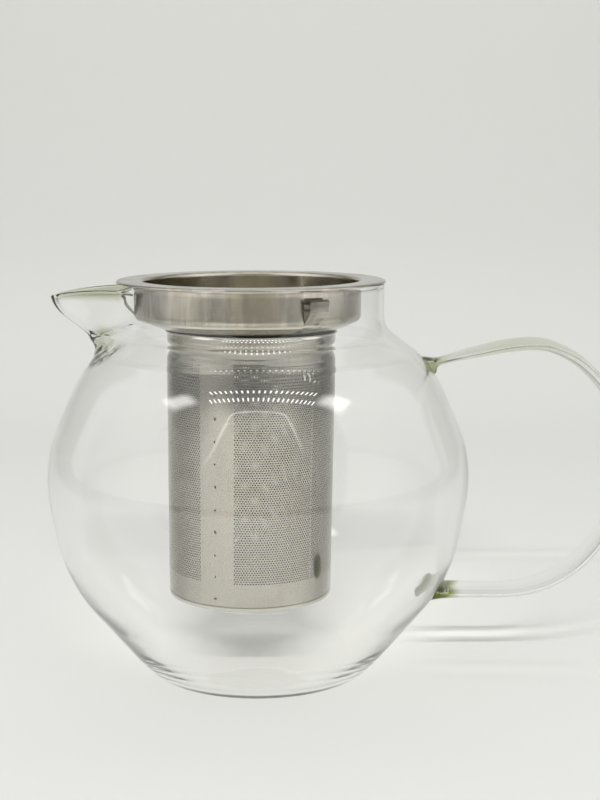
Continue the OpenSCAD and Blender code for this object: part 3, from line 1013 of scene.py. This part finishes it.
def lip_rows(w, theta):
    """The rolled lip above the band; returns the index rows from the lip's inner edge down."""
    p = lip_profile()
    n = left_normals(p)
    outer, inner = p + n * TUBE_T / 2, p - n * TUBE_T / 2
    return np.array([w.points(around(a[0], theta, a[1]), around(b[0], theta, b[1]))
                     for a, b in zip(outer, inner)])


def rows_to_quads(w, rows):
    a, b, c, d = rows[:-1, :-1], rows[:-1, 1:], rows[1:, 1:], rows[1:, :-1]
    w.quads(np.stack([d, c, b, a], -1))


def perforated_sheet(index, theta0, theta1, holes):
    """One sector of the tube: lip, plain band, staggered rows of round holes, plain band."""
    w = Weave()
    half = np.linspace(theta0, theta1, 2 * holes + 1)
    z = row_heights()
    above, below = plain_heights()
    grid = both(w, half[None, :], z[:, None])
    m = len(z) - 1
    top = np.vstack([lip_rows(w, half)[:-1], both(w, half[None, :], above[:-1, None]), grid[:1]])
    bottom = np.vstack([grid[-1:], both(w, half[None, :], below[1:, None])])
    rows_to_quads(w, top)
    rows_to_quads(w, bottom)
    zm = (z[:-1] + z[1:]) / 2
    mids = both(w, half[None, :], zm[:, None])
    pitch_t = half[2] - half[0]
    hole_a = np.radians([180, 225, 270, 315, 0, 45, 90, 135])
    r_t = HOLE_R / MID_R
    left_edge, right_edge = [], []
    for i in range(m):
        s = i % 2
        k0 = np.arange(s, 2 * holes - 1, 2)
        centre = half[k0 + 1]
        th = centre[:, None] + r_t * np.cos(hole_a)[None, :]
        zz = zm[i] + HOLE_R * np.sin(hole_a)[None, :] + 0 * th
        th_in = centre[:, None] + (th - centre[:, None]) * HOLE_TAPER
        zz_in = zm[i] + (zz - zm[i]) * HOLE_TAPER
        h = w.points(tube_point(th, zz, 1), tube_point(th_in, zz_in, -1)).reshape(th.shape)
        ring = np.stack([mids[i, k0], grid[i + 1, k0], grid[i + 1, k0 + 1], grid[i + 1, k0 + 2],
                         mids[i, k0 + 2], grid[i, k0 + 2], grid[i, k0 + 1], grid[i, k0]], -1)
        nxt, hn = np.roll(ring, -1, 1), np.roll(h, -1, 1)
        w.quads(np.stack([ring, nxt, hn, h], -1))
        w.walls(np.stack([hn, h], -1))
        if s:
            for k in (0, 2 * holes - 1):
                w.quads([[grid[i + 1, k], grid[i + 1, k + 1], mids[i, k + 1], mids[i, k]],
                         [mids[i, k], mids[i, k + 1], grid[i, k + 1], grid[i, k]]])
        left_edge += [grid[i, 0], mids[i, 0]]
        right_edge += [grid[i, -1], mids[i, -1]]
    close_edges(w, top, bottom, left_edge, right_edge)
    return outward(w.build(f"basket_sheet_{index}"))


def close_edges(w, top, bottom, left_edge=(), right_edge=()):
    """Walls along the four sides of a sheet: its top rows, side edges and bottom rows."""
    left = np.concatenate([top[:-1, 0], np.array(left_edge, int), bottom[:, 0]])
    right = np.concatenate([top[:-1, -1], np.array(right_edge, int), bottom[:, -1]])
    for a, b in ((left[:-1], left[1:]), (right[1:], right[:-1]),
                 (top[0, 1:], top[0, :-1]), (bottom[-1, :-1], bottom[-1, 1:])):
        w.walls(np.stack([a, b], -1))


def seam_strip(theta0, theta1):
    """The plain strip where the sheet's ends meet."""
    w = Weave()
    t = np.linspace(theta0, theta1, 28)
    z = row_heights()
    above, below = plain_heights()
    rows = np.vstack([lip_rows(w, t)[:-1], both(w, t[None, :], above[:-1, None]),
                      both(w, t[None, :], z[:, None]), both(w, t[None, :], below[1:, None])])
    rows_to_quads(w, rows)
    close_edges(w, rows, rows[-1:])
    return outward(w.build("basket_seam_strip"))


def basket_tube(material):
    start, stop = az(SEAM_TO), az(SEAM_FROM) + 2 * math.pi
    pitch = 2 * math.pi / HOLES_ROUND
    holes = int((stop - start) / pitch)
    stop_holes = start + holes * pitch
    per = [holes // SHEETS + (1 if k < holes % SHEETS else 0) for k in range(SHEETS)]
    at = start
    pieces = []
    for k, n in enumerate(per):
        pieces.append(perforated_sheet(k + 1, at, at + n * pitch, n))
        at += n * pitch
    pieces.append(seam_strip(stop_holes - 2 * math.pi, start))
    for ob in pieces:
        finish_piece(ob, "infuser", "perforated_steel", material, "basket_tube")
    return pieces


def basket_bottom(material):
    """The pressed cap: a thin disc with a rounded edge and an upturned wall inside the tube."""
    z0 = -BASKET_DEPTH
    r = TUBE_END_R
    inner = r - TUBE_T - 0.02
    loop = join([(0.02, z0 + 0.35), (8, z0 + 0.35)],
                line((8, z0 + 0.35), (inner - 1.4, z0 + 0.4), 6),
                arc((inner - 1.35, z0 + 1.4), 1.0, -90, 0, 6),
                [(inner - 0.35, z0 + 4.0), (inner - 0.2, z0 + 4.1), (inner, z0 + 4.0),
                 (inner, z0 + 0.95), (r + 0.02, z0 + 0.9)],
                arc((r - 0.55, z0 + 0.58), 0.58, 0, -90, 6),
                line((r - 0.55, z0), (8, z0), 6), [(0.02, z0)])
    a = np.linspace(0, 2 * math.pi, 220, endpoint=False)
    rr, zz = loop[:, 0][None, :], loop[:, 1][None, :]
    v = around(rr, a[:, None], zz)
    ob = outward(mesh_object("basket_bottom", lean(v.reshape(-1, 3)),
                             grid_quads(len(a), len(loop), True, True), sharp=40))
    return finish_piece(ob, "infuser", "perforated_steel", material, "basket_bottom")


WELD_PITCH = 7.49
WELDS = 11
WELD_R = 0.42


def seam_welds(material):
    """A row of small burnt nuggets down the seam, each a shallow domed disc."""
    rng = np.random.default_rng(7)
    verts, quads, tris = [], [], []
    ring = 14
    b = np.linspace(0, 2 * math.pi, ring, endpoint=False)
    rings = [(1.0, -0.25), (1.0, 0.0), (0.92, 0.035), (0.6, 0.06), (0.25, 0.045)]
    for k in range(WELDS):
        z = TUBE_END + 3.5 + k * WELD_PITCH + rng.uniform(-0.25, 0.25)
        r0 = WELD_R * rng.uniform(0.7, 1.2)
        turn = az(SEAM_AZ) + rng.uniform(-0.004, 0.004)
        wobble = (1 + 0.16 * np.sin(2 * b + rng.uniform(0, 6))
                  + 0.08 * np.sin(5 * b + rng.uniform(0, 6)))
        knot = []
        for f, h in rings:
            du, dv = r0 * f * wobble * np.cos(b), 1.15 * r0 * f * wobble * np.sin(b)
            r = tube_radius(z + dv) + TUBE_T / 2 + h
            knot.append(around(r, turn + du / MID_R, z + dv))
        base = k * (len(rings) * ring + 2)
        verts += knot + [np.array([knot[0].mean(0), knot[-1].mean(0)])]
        quads.append(grid_quads(len(rings), ring, False, True) + base)
        tris.append(fans(len(rings), ring) + base)
    ob = outward(mesh_object("seam_welds", lean(np.vstack(verts)), np.vstack(quads),
                             np.vstack(tris), sharp=60))
    return finish_piece(ob, "infuser", "polished_steel", material, "seam_welds")


# ------------------------------------------------------------------ the studio
def sweep():
    """Seamless pale paper: flat under the pot, curving up behind it."""
    y = np.r_[np.linspace(-1500, 430, 30),
              430 + 260 * np.sin(np.linspace(0, math.pi / 2, 24))[1:], [690, 690]]
    z = np.r_[np.zeros(30), 260 * (1 - np.cos(np.linspace(0, math.pi / 2, 24)))[1:], [700, 1500]]
    x = np.linspace(-1300, 1300, 27)
    v = np.stack([x[None, :] + 0 * y[:, None], y[:, None] + 0 * x[None, :],
                  z[:, None] + 0 * x[None, :]], -1)
    ob = mesh_object("paper_sweep", v.reshape(-1, 3), grid_quads(len(y), len(x)), sharp=None)
    ob.data.materials.append(paper_material())


def strip_light(name, at, to, size, radiance, seen=True):
    """A flat lamp. Lamps that aren't seen leave no reflections, only light and shadow."""
    data = bpy.data.lights.new(name, "AREA")
    data.shape, data.size, data.size_y = "RECTANGLE", size[0] * MM, size[1] * MM
    data.energy = radiance * math.pi * size[0] * size[1] * MM * MM
    data.color = (1.0, 0.985, 0.955)
    ob = bpy.data.objects.new(name, data)
    bpy.context.scene.collection.objects.link(ob)
    ob.location = Vector(at) * MM
    ob.rotation_euler = (Vector(to) - Vector(at)).to_track_quat("-Z", "Y").to_euler()
    ob.visible_camera = False
    ob.visible_transmission = False
    ob.visible_glossy = seen
    return ob


# the key lamp's radiance, and the share of the tent's light that falls on dull surfaces
KEY_RADIANCE = 140.0
TENT_FILL = 0.62


def lamps():
    strip_light("key", (-8, -1008, 900), (0, 0, 20), (720, 32), KEY_RADIANCE, seen=False)
    strip_light("back_wash", (0, 250, 900), (0, 420, 100), (1200, 200), 1.0, seen=False)


TENT_STRENGTH = 0.87


def world():
    """A pale light tent with an opening towards the camera: a dim room is seen through it."""
    w = bpy.data.worlds.new("tent")
    bpy.context.scene.world = w
    t = Tree(w)
    x, y, z = t.xyz(t.node("ShaderNodeTexCoord", 0))
    wide = t.abs(x)
    ahead = t.math("MAXIMUM", t.mul(y, -1.0), 0.05)
    across, above = t.div(wide, ahead), t.div(z, ahead)
    opening = t.mul(t.span(across, 0.56, 0.34), t.span(above, 0.95, 0.78))
    wall = t.mix(t.span(z, 0.0, 1.0, smooth=False), rgba(0.80, 0.80, 0.79),
                 rgba(0.93, 0.935, 0.93))
    drape = t.noise(t.node("ShaderNodeCombineXYZ", X=t.mul(x, 3.0), Y=y,
                           Z=t.mul(z, 0.4)), 2.2, 3.0, 0.6)
    wall = t.mix(t.span(drape, 0.50, 0.68, 0.0, 0.22), wall, rgba(0.16, 0.15, 0.12))
    side = t.mul(t.span(wide, 0.50, 0.85), t.span(y, 0.15, -0.25))
    wall = t.mix(side, wall, rgba(1.10, 1.09, 1.04))
    low = t.mix(t.span(wide, 0.30, 0.05), rgba(0.78, 0.71, 0.58), rgba(0.57, 0.53, 0.44))
    room = t.mix(t.span(above, 0.05, 0.30), low, rgba(0.26, 0.27, 0.235))
    folds = t.noise(t.node("ShaderNodeCombineXYZ", X=t.div(x, ahead), Y=3.7,
                           Z=t.mul(above, 0.12)), 13.0, 2.0, 0.55)
    room = t.mix(t.span(folds, 0.36, 0.66, 0.0, 0.30, smooth=False), room, rgba(0.16, 0.15, 0.125))
    path = t.light_path()
    mirrored = t.math("MAXIMUM", path["Is Glossy Ray"], path["Is Transmission Ray"])
    bg = t.node("ShaderNodeBackground", Color=t.mix(opening, wall, room),
                Strength=t.span(mirrored, 0.0, 1.0, TENT_STRENGTH * TENT_FILL, TENT_STRENGTH))
    t.nt.links.new(bg, t.nt.nodes.new("ShaderNodeOutputWorld").inputs["Surface"])


# lens and sensor (mm), the camera's place from the infuser's axis and flange, its downward tilt
LENS, SENSOR = 63.225, 36
CAMERA_FROM = (16.3, -470.3, 34.2)
CAMERA_TILT = 9.08


def camera():
    cam = bpy.data.cameras.new("camera")
    cam.lens, cam.sensor_width = LENS, SENSOR
    cam.clip_start, cam.clip_end = 0.01, 20
    ob = bpy.data.objects.new("camera", cam)
    bpy.context.scene.collection.objects.link(ob)
    x, y, z = CAMERA_FROM
    ob.location = ((AXIS_X + x) * MM, y * MM, (FLANGE_Z + z) * MM)
    ob.rotation_euler = (math.radians(90 - CAMERA_TILT), 0, 0)
    bpy.context.scene.camera = ob


def look():
    sc = bpy.context.scene
    sc.view_settings.view_transform = "Standard"
    sc.view_settings.exposure = 0.06
    sc.cycles.max_bounces = 28
    sc.cycles.transmission_bounces = 26
    sc.cycles.glossy_bounces = 10
    sc.cycles.diffuse_bounces = 4
    sc.cycles.transparent_max_bounces = 32
    sc.cycles.caustics_reflective = False
    sc.cycles.caustics_refractive = False
    sc.cycles.sample_clamp_indirect = 6.0
    sc.cycles.use_denoising = True


# ------------------------------------------------------------------ build
def build():
    steel = steel_material("polished_steel", (0.70, 0.662, 0.585), 0.09, 0.30, 0.45, 0.29)
    etched = steel_material("perforated_steel", (0.62, 0.595, 0.53), 0.08, 0.004, 0.45, 0.38,
                            0.05, sheet=True)
    glass_body()
    glass_handle()
    collar = infuser_collar(steel)
    finish_piece(collar, "infuser", "polished_steel", steel, "infuser_collar")
    for key in FINGERS:
        finger(key, steel)
    basket_tube(etched)
    basket_bottom(etched)
    seam_welds(weld_material())


build()
sweep()
lamps()
world()
camera()
look()
